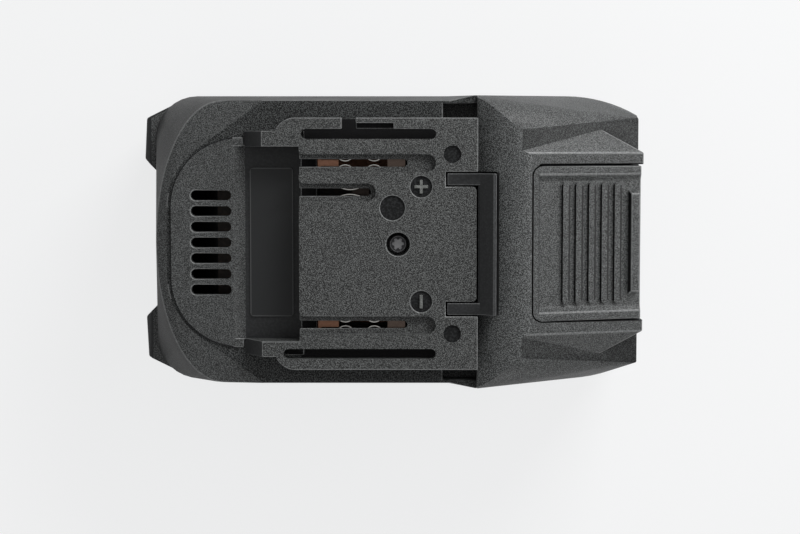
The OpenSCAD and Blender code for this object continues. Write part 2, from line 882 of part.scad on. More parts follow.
module release_button() {
    front_z = button_z - button_drop;
    field_half_w = button_half_w - field_rim;
    color([0.15, 0.155, 0.16])
    union() {
        // Skirt that closes the gap under the front edge from behind
        span([button_x1 - 3 * button_skin, button_skin - button_half_w,
            button_bottom_z - release_travel - skirt_drop],
            [front_x - wall - clear, button_half_w - button_skin, button_bottom_z + button_skin]);
        difference() {
            intersection() {
                translate([0, 0, button_bottom_z])
                    linear_extrude(deck_z - button_bottom_z)
                        button_plan(0, button_x1);
                across([[button_x0 - over, button_bottom_z], [button_x0 - over, button_z],
                    [button_x0, button_z], [button_x1, front_z], [button_x1, button_bottom_z]], half_w);
            }
            // Recessed field with slanted sides
            on_button()
                translate([field_rim, 0, 0])
                    rotate([90, 0, 90])
                        linear_extrude(button_l)
                            polygon([[field_half_w + over, over], [field_half_w - field_slant, -field_d],
                                [field_slant - field_half_w, -field_d], [-field_half_w - over, over]]);
            // Hollow underside
            across([[button_x0 + button_skin, button_bottom_z - over],
                [button_x0 + button_skin, button_z - button_skin - 2 * field_d],
                [button_x1 - button_skin, front_z - button_skin - field_d],
                [button_x1 - button_skin, button_bottom_z - over]], button_half_w - button_skin);
        }
        on_button() {
            // Grip ribs
            for (i = [0 : rib_count - 1])
                translate([rib_x0 + i * rib_pitch + rib_w / 2, 0, -field_d - root])
                    rotate([0, 0, 90])
                        slot(2 * rib_half_l, rib_w, rib_h + root);
            // Finger lip along the front edge
            translate([button_l - button_lip_l - button_lip_inset, 0, -field_d - root])
                rotate([0, -90, 180])
                    linear_extrude(button_lip_l)
                        polygon(both_sides([[0, button_lip_half_w],
                            [button_lip_h + root, button_lip_half_w - button_lip_slant]]));
        }
    }
}

// Latch hook and yoke
module latch_hook() {
    bar_x0 = hook_x1 - hook_bar_l;
    crest = deck_z + hook_h;
    color([0.1, 0.105, 0.11])
    union() {
        both()
            span([hook_x0, hook_half_w - hook_leg_w, yoke_z], [bar_x0 + over, hook_half_w, deck_z]);
        // Ramped bar with its locking face towards the button
        across([[bar_x0, yoke_z], [bar_x0, deck_z - hook_toe], [hook_x1 - hook_crest_l, crest],
            [hook_x1, crest], [hook_x1, yoke_z]], hook_half_w);
        span([hook_x0, -yoke_half_w, yoke_z], [yoke_x1, yoke_half_w, yoke_z + yoke_t]);
    }
}

// Latch springs
// Rings of a round wire along a helix that rises by rise over its turns
function helix_points(r, wire_r, rise, turns, rings, sides) =
    [for (i = [0 : rings]) let (a = 360 * turns * i / rings)
        for (j = [0 : sides - 1]) let (b = 360 * j / sides)
            [(r + wire_r * cos(b)) * cos(a), (r + wire_r * cos(b)) * sin(a),
                wire_r + (rise - 2 * wire_r) * i / rings + wire_r * sin(b)]];

module helix(r, wire_r, rise, turns) {
    sides = 6;
    rings = 8 * turns;
    last = rings * sides;
    polyhedron(helix_points(r, wire_r, rise, turns, rings, sides), concat(
        [[for (j = [0 : sides - 1]) j]],
        [for (i = [0 : rings - 1]) for (j = [0 : sides - 1]) let (k = (j + 1) % sides)
            [i * sides + j, (i + 1) * sides + j, (i + 1) * sides + k]],
        [for (i = [0 : rings - 1]) for (j = [0 : sides - 1]) let (k = (j + 1) % sides)
            [i * sides + j, (i + 1) * sides + k, i * sides + k]],
        [[for (j = [sides - 1 : -1 : 0]) last + j]]));
}

module latch_springs() {
    color([0.72, 0.72, 0.74])
    both()
        translate([spring_x, spring_y, spring_z])
            helix((spring_d - spring_wire) / 2, spring_wire / 2, spring_l, spring_turns);
}

// Screws
// Six-lobe recess
module six_lobe(d, h) {
    lobes = 6;
    core = 0.7 * d;
    lobe_d = 0.26 * d;
    linear_extrude(h) {
        circle(d = core);
        for (i = [0 : lobes - 1])
            rotate(360 * i / lobes)
                translate([(d - lobe_d) / 2, 0])
                    circle(d = lobe_d, $fn = 16);
    }
}

// Pan-head screw pointing along -Z with its head seated on z = 0
module screw(l) {
    color([0.25, 0.25, 0.27])
    difference() {
        union() {
            rotate_extrude()
                polygon([[0, 0], [screw_head_d / 2, 0],
                    [screw_head_d / 2, screw_head_h - 2 * screw_head_edge],
                    [screw_head_d / 2 - screw_head_edge, screw_head_h], [0, screw_head_h]]);
            translate([0, 0, -l])
                cylinder(d1 = core_d - screw_head_edge, d2 = core_d, h = screw_tip_l);
            translate([0, 0, screw_tip_l - l])
                cylinder(d = core_d, h = l - screw_tip_l);
        }
        translate([0, 0, screw_head_h - drive_h])
            six_lobe(drive_d, 2 * drive_h);
    }
}

module deck_screw() {
    translate([deck_screw_x, 0, deck_z - deck_screw_sink - screw_head_h])
        screw(deck_screw_l);
}

module housing_screws() {
    at_screws()
        translate([0, 0, screw_seat_z])
            mirror([0, 0, 1])
                screw(screw_l);
}

// Cells
// Place of cell i, counted up each column from the rear
function cell_pos(i) = [block_x0 + holder_rim + cell_d / 2 + floor(i / 2) * pitch, 0,
    block_z0 + holder_rim + cell_d / 2 + (i % 2) * pitch];

// One cell across the pack; its positive cap points along y * side
module cell(i) {
    side = floor(i / 2) % 2 == 0 ? 1 : -1;
    can_l = cell_l - cap_h;
    color([0.2, 0.42, 0.35])
    translate(cell_pos(i))
        rotate([-90 * side, 0, 0])
            translate([0, 0, -cell_l / 2])
                rotate_extrude()
                    polygon([[0, 0], [cell_d / 2 - cell_edge, 0], [cell_d / 2, cell_edge],
                        [cell_d / 2, can_l - cell_edge], [cell_d / 2 - cell_edge, can_l],
                        [cap_foot_r, can_l], [cap_r, cell_l], [0, cell_l]]);
}

// Half of the cell holder on the side s of the middle plane
module cell_holder(s) {
    color([0.82, 0.8, 0.74])
    on_side(s)
        difference() {
            union() {
                span([block_x0, cell_l / 2 - holder_depth, block_z0], [block_x1, holder_y1, block_z1]);
                // Pegs that carry the circuit board
                for (x = peg_x)
                    translate([x, peg_y, block_z1 - over]) {
                        cylinder(d = peg_foot_d, h = board_lift + over);
                        cylinder(d = peg_d, h = board_lift + over + board_t);
                    }
            }
            for (i = [0 : 2 * cell_columns - 1])
                translate(cell_pos(i))
                    rotate([-90, 0, 0]) {
                        cylinder(d = cell_d + cell_fit, h = cell_l / 2);
                        cylinder(d = cell_d - 2 * window_rim, h = cell_l);
                    }
        }
}

// Strap across columns c0 to c1 on the side s, with a sense tab up to the board
module strap(s, c0, c1) {
    low = cell_pos(2 * c0);
    high = cell_pos(2 * c1 + 1);
    color([0.75, 0.74, 0.7])
    on_side(s)
        union() {
            span([low[0] - strap_margin, holder_y1, low[2] - strap_margin],
                [high[0] + strap_margin, holder_y1 + strap_t, high[2] + strap_margin]);
            span([high[0] - strap_tab_w / 2, holder_y1, high[2]],
                [high[0] + strap_tab_w / 2, holder_y1 + strap_t, board_z]);
            // Welded dimples on the cell ends
            for (i = [2 * c0 : 2 * c1 + 1])
                translate([cell_pos(i)[0], cell_l / 2, cell_pos(i)[2]])
                    rotate([-90, 0, 0])
                        cylinder(d = weld_d, h = holder_lip + strap_t);
        }
}

// Insulating sheet between the straps and the wall on the side s
module insulator(s) {
    y0 = holder_y1 + strap_t;
    color([0.85, 0.85, 0.8])
    on_side(s)
        span([block_x0 + insulator_end, y0, block_z0],
            [block_x1 - insulator_end, y0 + insulator_t, block_z1 - over]);
}

// Circuit board
module circuit_board() {
    color([0.3, 0.2, 0.12])
    difference() {
        span([board_x0, -board_half_w, board_z], [board_x1, board_half_w, board_top]);
        both()
            for (x = peg_x)
                translate([x, peg_y, board_z - over])
                    cylinder(d = peg_d + peg_fit, h = board_t + 2 * over);
    }
}

module board_components() {
    color([0.06, 0.06, 0.07]) {
        // Row of power transistors
        for (i = [0 : fet_count - 1])
            translate(fet_at + [i * fet_pitch, 0, 0])
                cube(fet);
        // Controller and sense connector
        translate(chip_at)
            cube(chip);
        translate(plug_at)
            cube(plug);
        // Capacitors
        for (i = [0, 1])
            translate(capacitor_at + [0, i * capacitor_pitch, 0])
                cylinder(d = capacitor_d, h = capacitor_h);
    }
}

// Contacts
// One pair of sprung leaves, bowed towards the slot's middle, in plan
module leaf_pair(x, r, pinch) {
    reach = cheek_y + contact_t / 2;
    intersection() {
        for (s = [-1, 1])
            translate([x, s * (r + pinch)])
                difference() {
                    circle(r);
                    circle(r - leaf_t);
                }
        translate([x - r, -reach])
            square([2 * r, 2 * reach]);
    }
}

// Contact at y: leaves between two cheeks, joined by a bridge at bridge_z over a foot on the board
module contact(y, leaves, r, pinch, x1, bridge_z) {
    x0 = leaves[0] - min(r, cheek_y) - leaf_lead;
    translate([deck_x0, y, 0]) {
        translate([0, 0, contact_z0])
            linear_extrude(contact_h) {
                for (x = leaves)
                    leaf_pair(x, r, pinch);
                both()
                    translate([x0, cheek_y - contact_t / 2])
                        square([x1 - x0, contact_t]);
            }
        span([x1 - bridge_l, -cheek_y, bridge_z], [x1, cheek_y, bridge_z + contact_t]);
        span([x1 - bridge_l, -foot_w / 2, board_top],
            [x1 - bridge_l + foot_l, foot_w / 2, bridge_z + contact_t]);
    }
}

module contact_positive() {
    color([0.8, 0.8, 0.78])
    contact(power_y, power_leaves, power_leaf_r, power_pinch, power_end, contact_z1 - contact_t);
}

module contact_negative() {
    color([0.8, 0.8, 0.78])
    contact(-power_y, power_leaves, power_leaf_r, power_pinch, power_end, contact_z1 - contact_t);
}

module contact_charge() {
    color([0.8, 0.78, 0.7])
    contact(charge_y, charge_leaves, charge_leaf_r, charge_pinch, charge_end, contact_z0);
}

// Copper strip along the board to the foot of the contact on the side s, with a tongue up in the slot
module busbar(s) {
    color([0.72, 0.42, 0.26])
    on_side(s)
        translate([0, power_y, 0]) {
            span([bar_x - bar_foot_l, -bar_w / 2, board_top],
                [deck_x0 + power_end - bridge_l, bar_w / 2, board_top + bar_t]);
            span([bar_x - bar_t, -bar_w / 2, board_top], [bar_x, bar_w / 2, tongue_z]);
            span([bar_x - bar_t, -tongue_w / 2, tongue_z - bar_t], [tongue_x1, tongue_w / 2, tongue_z]);
        }
}

base_tub();
top_cover();
terminal_deck();
release_button();
latch_hook();
latch_springs();
deck_screw();
housing_screws();
cell_holder(1);  // cell_holder_left
cell_holder(-1);  // cell_holder_right
for (i = [0 : 2 * cell_columns - 1])
    cell(i);
strap(1, 0, 0);  // strap_left_rear
strap(1, 1, 2);  // strap_left_middle
strap(1, 3, 4);  // strap_left_front
strap(-1, 0, 1);  // strap_right_rear
strap(-1, 2, 3);  // strap_right_middle
strap(-1, 4, 4);  // strap_right_front
insulator(1);  // insulator_left
insulator(-1);  // insulator_right
circuit_board();
board_components();
contact_positive();
contact_negative();
contact_charge();
busbar(1);  // busbar_positive
busbar(-1);  // busbar_negative
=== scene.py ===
"""Looks of a slide-on power tool battery pack, built around its CAD frame. Lengths are in millimetres
until they reach Blender, which works in metres."""
import json
import math

import bmesh
import bpy
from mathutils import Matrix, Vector

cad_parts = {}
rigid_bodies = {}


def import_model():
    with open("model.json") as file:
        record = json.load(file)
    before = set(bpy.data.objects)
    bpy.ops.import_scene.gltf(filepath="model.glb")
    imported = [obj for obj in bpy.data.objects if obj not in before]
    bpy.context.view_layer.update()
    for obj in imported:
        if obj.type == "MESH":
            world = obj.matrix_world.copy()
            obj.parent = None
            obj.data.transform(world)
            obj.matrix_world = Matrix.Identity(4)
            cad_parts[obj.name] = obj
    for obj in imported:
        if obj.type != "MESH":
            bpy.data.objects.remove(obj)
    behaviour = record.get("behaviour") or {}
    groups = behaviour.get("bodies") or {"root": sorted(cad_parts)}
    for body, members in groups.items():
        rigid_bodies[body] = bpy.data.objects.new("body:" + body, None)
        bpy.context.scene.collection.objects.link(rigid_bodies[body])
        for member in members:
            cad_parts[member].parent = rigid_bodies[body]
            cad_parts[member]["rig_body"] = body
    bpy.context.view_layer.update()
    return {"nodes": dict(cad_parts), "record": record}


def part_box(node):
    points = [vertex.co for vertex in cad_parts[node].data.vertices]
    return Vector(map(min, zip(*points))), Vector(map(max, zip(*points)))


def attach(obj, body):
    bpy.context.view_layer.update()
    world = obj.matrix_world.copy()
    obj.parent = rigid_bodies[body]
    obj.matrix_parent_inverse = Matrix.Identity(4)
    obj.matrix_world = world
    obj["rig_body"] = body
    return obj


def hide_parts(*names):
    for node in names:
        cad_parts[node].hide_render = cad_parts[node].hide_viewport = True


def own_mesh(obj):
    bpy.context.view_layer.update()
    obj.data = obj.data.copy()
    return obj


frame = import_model()

MM = 0.001
scene = bpy.context.scene
nodes = frame["nodes"]
slot_of = {row["node"]: row["material_slot"] for row in frame["record"]["subparts"]}
deck_low, deck_high = (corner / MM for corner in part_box("terminal_deck"))
button_low, button_high = (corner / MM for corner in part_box("release_button"))
screw_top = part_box("deck_screw")[1].z / MM
bridge_end, _, leaf_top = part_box("contact_positive")[1] / MM

# Measures of the CAD model. Depths are below the deck's top, heights over the shoulder, and lengths from
# the deck's ends
SHOULDER_DEPTH = 8.5
PAD_DEPTH = 9.5
DISC_DEPTH = 0.6
KEY_POCKET_DEPTH = 2.4
SLOT_LEDGE_DEPTH = 4.5
CREST_DEPTH = 2.5
RIBS_DEPTH = 11
OPENING_DEPTH = 12
RAMP_FOOT_H = 2
VENT_EDGE_H = 0.5
DOME_ARC_H = 0.58
POCKET_H = -3
POCKET_L = 14.2
LEDGE_L = 3.6
DOME_CORNER_L = 3.2
VENT_ENDS_L = (8, 14.5)
DOME_ARC_L = 14.5
HOOK_FRONT_L = 4.5
CREST_FACETS_L = (8, 13.5)
CREST_L = 13
POCKET_HALF_W = 24.5
LIP_HALF_W = 31.6
BEZEL_HALF_W = 24
VENTS_HALF_W = 15
DOME_CORNER_HALF_W = 19
HOOK_HALF_W = 18
FIELD_HALF_W = 18
FIELD_EDGE_X = (37.2, 37.5)
RIB_COUNT = 5
RIB_END_X = 44.92
RIB_PITCH_X = 3.378
RIB_HALF_L = 14.6
BUTTON_GAP = 0.5
BRIDGE_L = 4.6
INSIDE_TOP = 50
FOOT_TOP = 2.5
contact_face_x = deck_low.x + POCKET_L
shoulder_z = deck_high.z - SHOULDER_DEPTH
pad_z = deck_high.z - PAD_DEPTH


# Materials
GRAIN_STOPS = (0.4, 0.5, 0.6)
GRAIN_DARK = 0.8
GRAIN_LIGHT = 2.2
DARKEST_GRAIN = 0.1
MOTTLE_MM = 14
STREAK_MM = 0.6
TARNISH_MM = 5
TARNISH = 0.8


def new_material(name):
    """Returns a material, its node tree and its shader."""
    material = bpy.data.materials.new(name)
    material.use_nodes = True
    tree = material.node_tree
    return material, tree, tree.nodes["Principled BSDF"]


def noise(tree, size_mm, detail=2):
    """A noise texture with cells of about size_mm, turned so that no flat face lies along its lattice."""
    place = tree.nodes.new("ShaderNodeTexCoord")
    turn = tree.nodes.new("ShaderNodeMapping")
    turn.inputs["Rotation"].default_value = (0.6, 0.9, 0.3)
    texture = tree.nodes.new("ShaderNodeTexNoise")
    texture.inputs["Scale"].default_value = 1 / (size_mm * MM)
    texture.inputs["Detail"].default_value = detail
    tree.links.new(place.outputs["Object"], turn.inputs["Vector"])
    tree.links.new(turn.outputs["Vector"], texture.inputs["Vector"])
    return texture.outputs["Fac"]


def ramp(tree, value, stops):
    """A colour ramp over value; stops are (position, colour) pairs."""
    node = tree.nodes.new("ShaderNodeValToRGB")
    elements = node.color_ramp.elements
    for i, (position, color) in enumerate(stops):
        element = elements[i] if i < 2 else elements.new(position)
        element.position = position
        element.color = (*color, 1)
    tree.links.new(value, node.inputs["Fac"])
    return node.outputs["Color"]


def map_range(tree, value, low, high, start=0.35, end=0.65):
    """Maps value from start..end to low..high."""
    node = tree.nodes.new("ShaderNodeMapRange")
    node.inputs["From Min"].default_value = start
    node.inputs["From Max"].default_value = end
    node.inputs["To Min"].default_value = low
    node.inputs["To Max"].default_value = high
    tree.links.new(value, node.inputs["Value"])
    return node.outputs["Result"]


def bump(tree, shader, height, depth_mm, strength=1):
    """Bumps the shader's surface by height, depth_mm deep."""
    node = tree.nodes.new("ShaderNodeBump")
    node.inputs["Strength"].default_value = strength
    node.inputs["Distance"].default_value = depth_mm * MM
    tree.links.new(height, node.inputs["Height"])
    tree.links.new(node.outputs["Normal"], shader.inputs["Normal"])


def shade(color, factor):
    return tuple(c * factor for c in color)


def plastic(name, color, grain_mm, grain_depth_mm, roughness, contrast=0.25, specular=0.5):
    """Moulded plastic with a spark-eroded grain that speckles its colour, gloss and surface."""
    material, tree, shader = new_material(name)
    grain = noise(tree, grain_mm, detail=1)
    mottle = noise(tree, MOTTLE_MM)
    tones = (shade(color, max(DARKEST_GRAIN, 1 - GRAIN_DARK * contrast)), color,
             shade(color, 1 + GRAIN_LIGHT * contrast))
    tree.links.new(ramp(tree, grain, zip(GRAIN_STOPS, tones)), shader.inputs["Base Color"])
    tree.links.new(map_range(tree, mottle, roughness - 0.04, roughness + 0.04), shader.inputs["Roughness"])
    shader.inputs["Specular IOR Level"].default_value = specular
    bump(tree, shader, grain, grain_depth_mm)
    return material


def metal(name, color, roughness):
    """Drawn or stamped metal with fine streaks and patches of tarnish."""
    material, tree, shader = new_material(name)
    streaks = noise(tree, STREAK_MM, detail=4)
    patches = noise(tree, TARNISH_MM, detail=3)
    tone = ramp(tree, patches, [(0.3, shade(color, TARNISH)), (0.7, color)])
    tree.links.new(tone, shader.inputs["Base Color"])
    tree.links.new(map_range(tree, streaks, roughness - 0.08, roughness + 0.1), shader.inputs["Roughness"])
    shader.inputs["Metallic"].default_value = 1
    bump(tree, shader, streaks, 0.01, 0.5)
    return material


SHELL_COLOR = (0.037, 0.0388, 0.0388)
DECK_COLOR = (0.027, 0.0282, 0.0279)
SMOOTH_COLOR = (0.022, 0.023, 0.024)
MATERIALS = {
    "housing": plastic("housing_plastic", SHELL_COLOR, 0.22, 0.06, 0.5, 1.0),
    # Painted light: the ramp's plastic is paler than the housing's, standing in for light falling on it
    "ramp": plastic("ramp_painted_light", shade(SHELL_COLOR, 1.25), 0.22, 0.06, 0.5, 1.2),
    # Painted shade: darker plastic for the nose's facets beside the bezel
    "valley": plastic("valley_painted_shade", shade(SHELL_COLOR, 0.5), 0.23, 0.06, 0.55, 1.1, 0.3),
    # Painted shade: darker plastic for the shoulders beside the rails
    "shoulder": plastic("shoulder_painted_shade", shade(SHELL_COLOR, 0.7), 0.23, 0.06, 0.5, 1.1, 0.2),
    # Painted highlight: paler plastic for the rounded edges
    "rim": plastic("rim_painted_highlight", (0.13, 0.134, 0.134), 0.4, 0.01, 0.4, 0.2),
    "deck": plastic("deck_plastic", DECK_COLOR, 0.22, 0.07, 0.5, 1.8),
    "button": plastic("button_plastic", SHELL_COLOR, 0.22, 0.07, 0.5, 1.2),
    "latch": plastic("latch_plastic", SMOOTH_COLOR, 0.5, 0.01, 0.36, 0.12, 0.3),
    "smooth": plastic("polished_plastic", SMOOTH_COLOR, 0.6, 0.01, 0.42, 0.12, 0.35),
    # Painted highlight: paler plastic for the latch hook's rounded edges
    "latch_painted_highlight": plastic("latch_painted_highlight", (0.06, 0.062, 0.064), 0.5, 0.01, 0.36, 0.12),
    # Dark plastic of the marking discs; on the dome's foot it is used as painted shade
    "disc": plastic("disc_plastic", shade(SMOOTH_COLOR, 0.55), 0.5, 0.02, 0.5, 0.4, 0.15),
    "shadow": plastic("unlit_plastic", (0.006, 0.006, 0.0065), 0.6, 0.02, 0.7, 0.2, 0.15),
    "sign": plastic("raised_sign", (0.12, 0.125, 0.12), 0.4, 0.02, 0.5, 0.2),
    "spring_steel": metal("spring_steel", (0.55, 0.55, 0.57), 0.3),
    "screw_steel": metal("screw_steel", (0.42, 0.42, 0.43), 0.4),
    "screw_face": metal("screw_face", (0.06, 0.06, 0.063), 0.5),
    "holder": plastic("holder_plastic", (0.62, 0.60, 0.52), 0.5, 0.02, 0.5, 0.08),
    "cell_sleeve": plastic("cell_sleeve", (0.008, 0.010, 0.013), 0.8, 0.005, 0.4, 0.1),
    "nickel": metal("nickel_strip", (0.62, 0.60, 0.55), 0.32),
    "insulation": plastic("insulation_paper", (0.70, 0.70, 0.64), 0.4, 0.02, 0.8, 0.1),
    "board": plastic("board_lacquer", (0.05, 0.028, 0.016), 1.2, 0.01, 0.4, 0.2),
    "components": plastic("component_cases", (0.02, 0.02, 0.022), 0.4, 0.01, 0.45, 0.15),
    "contact": metal("tinned_contact", (0.92, 0.90, 0.86), 0.35),
    "copper": metal("bare_copper", (0.40, 0.21, 0.14), 0.5),
}


def dress(piece, slot):
    """Gives a piece the one material of its slot."""
    piece.data.materials.clear()
    piece.data.materials.append(MATERIALS[slot])


for name, node in nodes.items():
    dress(node, slot_of[name])


# Softened pieces
ROUND_ANGLE = 24
FACET_ANGLE = 14
FLAT_ANGLE = 0.05
ROOM = 1.5
WELD = 0.002


def add_object(name, data):
    item = bpy.data.objects.new(name, data)
    scene.collection.objects.link(item)
    return item


def roomy(edge, width):
    """Whether both faces beside an edge leave room to round it over by width."""
    length = edge.calc_length()
    return length > ROOM * width and all(face.calc_area() / length > ROOM * width for face in edge.link_faces)


def never(edge):
    return False


def soften(node, width_mm, rim="rim", crease=never, plain=never, tight=never):
    """Replaces a CAD node by a copy whose outer edges are rounded over by width_mm where there is room.

    The rounding has the material rim. Edges that pass the crease test stay sharp at any angle. Those that
    pass the plain test aren't rounded, and what is sharper than the facets of a curve stays sharp. Those
    that pass the tight test are rounded though they are short."""
    source = nodes[node]
    width = width_mm * MM
    mesh = source.data.copy()
    form = bmesh.new()
    form.from_mesh(mesh)
    bmesh.ops.remove_doubles(form, verts=form.verts, dist=WELD * MM)
    bmesh.ops.dissolve_limit(form, angle_limit=math.radians(FLAT_ANGLE), verts=form.verts, edges=form.edges)
    for face in form.faces:
        face.smooth = True
    rounded = []
    for edge in form.edges:
        edge.smooth = True
        if len(edge.link_faces) == 2:
            turn = math.degrees(edge.calc_face_angle_signed(0))
            if crease(edge):
                edge.smooth = False
            elif turn > ROUND_ANGLE and (roomy(edge, width) or tight(edge)) and not plain(edge):
                rounded.append(edge)
            else:
                edge.smooth = abs(turn) < FACET_ANGLE
    bmesh.ops.bevel(form, geom=rounded, offset=width, offset_type="OFFSET", segments=2, profile=0.5,
                    affect="EDGES", clamp_overlap=False, miter_outer="ARC", material=1)
    low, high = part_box(node)
    for vertex in form.verts:
        vertex.co = [min(max(value, low[i]), high[i]) for i, value in enumerate(vertex.co)]
    bmesh.ops.remove_doubles(form, verts=form.verts, dist=WELD * MM)
    form.to_mesh(mesh)
    form.free()
    piece = add_object(f"{node}_softened", mesh)
    weighted = piece.modifiers.new("even_normals", "WEIGHTED_NORMAL")
    weighted.keep_sharp = True
    weighted.weight = 50
    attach(piece, source["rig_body"])
    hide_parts(node)
    # The rounding gets the rim material; by default this is paler plastic, a painted highlight along the
    # edges
    mesh.materials.append(MATERIALS[rim])
    return piece


# Tests of edges and faces compare the parts of a face's normal with these values
DEAD_LEVEL = 0.99
LEVEL = 0.97
UPWARD = 0.9
GENTLE = 0.6
STEEP = 0.5
SLOPING = 0.4
LEANING = 0.2
RING_TILT = 0.15
STRAIGHT = 0.1
DEAD_STRAIGHT = 0.02
# Lengths that the tests leave as slack
RING_REACH = 0.8
RING_SLACK = 0.4
SLACK = 0.2
HAIR = 0.1


def middle_of(edge):
    return (edge.verts[0].co + edge.verts[1].co) / 2 / MM


def on_ramp(place, normal):
    """The curved ramp that rises behind the deck to the nose's crest."""
    return -HAIR < place.x - deck_high.x < CREST_L - WELD and place.z > shoulder_z + RAMP_FOOT_H \
        and abs(normal.y) < DEAD_STRAIGHT and normal.z > STEEP


def ends_ramp(edge):
    ramps = [on_ramp(face.calc_center_median() / MM, face.normal) for face in edge.link_faces]
    return ramps[0] != ramps[1]


def ends_crest(edge):
    """An edge among the narrow facets at either end of the nose's crest."""
    place = middle_of(edge)
    return CREST_FACETS_L[0] < place.x - deck_high.x < CREST_FACETS_L[1] \
        and abs(place.y) > BEZEL_HALF_W - HAIR and place.z > deck_high.z - CREST_DEPTH


def lines_shell(edge):
    """An edge of a wall that faces the inside of the housing."""
    for face in edge.link_faces:
        center = face.calc_center_median()
        if center.z < INSIDE_TOP * MM and abs(face.normal.z) < STEEP and face.normal.xy.dot(center.xy) < 0:
            return True
    return False


def stands(edge):
    """An edge of the chamfer round the foot."""
    return max(vertex.co.z for vertex in edge.verts) < FOOT_TOP * MM


def rounds_vent(edge):
    """An edge on the dome round the rear end of a vent."""
    place = middle_of(edge)
    tilts = sorted(abs(face.normal.z) for face in edge.link_faces)
    return VENT_ENDS_L[0] < deck_low.x - place.x < VENT_ENDS_L[1] and abs(place.y) < VENTS_HALF_W \
        and place.z > shoulder_z + VENT_EDGE_H and tilts[0] < STRAIGHT and tilts[1] > DEAD_LEVEL


def floor_at(depth):
    """Returns a test for level faces at a depth below the deck's top."""
    def test(place, normal):
        return normal.z > UPWARD and abs(deck_high.z - place.z - depth) < HAIR
    return test


def on_screw_head(place, normal):
    return normal.z > LEVEL and place.z > screw_top - SLACK


def on_dome_arc(place, normal):
    """The foot of the dome, apart from its front."""
    behind = deck_low.x - place.x
    return HAIR < place.z - shoulder_z < DOME_ARC_H and normal.z < LEVEL \
        and (behind > DOME_ARC_L or behind > DOME_CORNER_L and abs(place.y) > DOME_CORNER_HALF_W)


def heads_pocket(place, normal):
    """The ledge between the dome and the terminal pocket."""
    return 0 < deck_low.x - place.x < LEDGE_L and abs(place.y) < POCKET_HALF_W \
        and place.z > shoulder_z - SLACK and normal.z > GENTLE


def on_valley(place, normal):
    """The facets of the nose beside the bezel."""
    return normal.x > SLOPING and abs(normal.y) < STRAIGHT and abs(place.y) > BEZEL_HALF_W \
        and place.x > deck_high.x + CREST_L


def in_pocket(place, normal):
    return deck_low.x < place.x < contact_face_x - WELD and abs(place.y) < POCKET_HALF_W \
        and POCKET_H < place.z - shoulder_z < -SLACK


def on_pad(place, normal):
    return floor_at(PAD_DEPTH)(place, normal) and in_pocket(place, normal)


def on_strip_ramp(place, normal):
    """The lead-in of the deck's strips beside the pocket."""
    return normal.x < -SLOPING and normal.z > LEANING and place.x < contact_face_x


def on_rear(place, normal):
    return place.x < deck_low.x


def on_rib_back(place, normal):
    return normal.x < -UPWARD and LEANING < normal.z < STEEP and place.z > deck_high.z - RIBS_DEPTH


def edges_field(place, normal):
    """The edge of the button's ribbed field."""
    return FIELD_EDGE_X[0] < place.x < FIELD_EDGE_X[1] and normal.x > SLOPING and abs(place.y) < FIELD_HALF_W


def rings_button(place, normal):
    """The edge of the opening in the cover that the button moves in."""
    beside = abs(abs(place.y) - button_high.y - BUTTON_GAP) < RING_SLACK \
        and place.x > button_low.x - RING_REACH and normal.y * place.y < 0 and abs(normal.y) > LEANING
    behind = abs(button_low.x - place.x - BUTTON_GAP) < RING_SLACK \
        and abs(place.y) < button_high.y + 2 * BUTTON_GAP and normal.x > SLOPING
    return (beside or behind) and normal.z > RING_TILT and place.z > deck_high.z - OPENING_DEPTH


# Painted highlight: the rounded edges of the housing, deck and button get the paler rim plastic
base = soften("base_tub", 0.4, crease=lambda edge: lines_shell(edge) or stands(edge))
cover = soften("top_cover", 0.3, crease=lambda edge: lines_shell(edge) or ends_ramp(edge),
               plain=ends_crest, tight=rounds_vent)
deck = soften("terminal_deck", 0.24)
button = soften("release_button", 0.3)
# Painted highlight: the latch hook's rounded edges get a paler plastic
soften("latch_hook", 0.25, rim="latch_painted_highlight")
screw = soften("deck_screw", 0.12, rim="screw_steel")
for name in ("contact_positive", "contact_negative", "contact_charge"):
    soften(name, 0.06, rim="contact")


def paint(piece, material, test):
    """Gives a second material to the faces whose centre and normal pass a test."""
    slots = piece.data.materials
    if slots.find(MATERIALS[material].name) < 0:
        slots.append(MATERIALS[material])
    index = slots.find(MATERIALS[material].name)
    for polygon in piece.data.polygons:
        if test(polygon.center / MM, polygon.normal):
            polygon.material_index = index


paint(cover, "shadow", rings_button)
paint(button, "shadow", on_rib_back)
# Painted shade: the rounded edge of the button's field gets the darker smooth plastic instead of the paler
# rim
paint(button, "smooth", edges_field)
# Painted light: the ramp behind the deck gets the paler ramp plastic
paint(cover, "ramp", on_ramp)
paint(cover, "smooth", in_pocket)
paint(deck, "smooth", on_strip_ramp)
paint(deck, "disc", floor_at(DISC_DEPTH))
paint(deck, "shadow", floor_at(KEY_POCKET_DEPTH))
paint(deck, "shadow", floor_at(SLOT_LEDGE_DEPTH))
# Painted shade: the shoulders beside the rails get the darker shoulder plastic
paint(cover, "shoulder", floor_at(SHOULDER_DEPTH))
# Painted shade: the foot of the dome gets the dark disc plastic as a thin dark line
paint(cover, "disc", on_dome_arc)
paint(cover, "housing", heads_pocket)
# Painted shade: the facets beside the bezel get the darker valley plastic
paint(cover, "valley", on_valley)
paint(base, "smooth", on_rear)
paint(screw, "screw_face", on_screw_head)


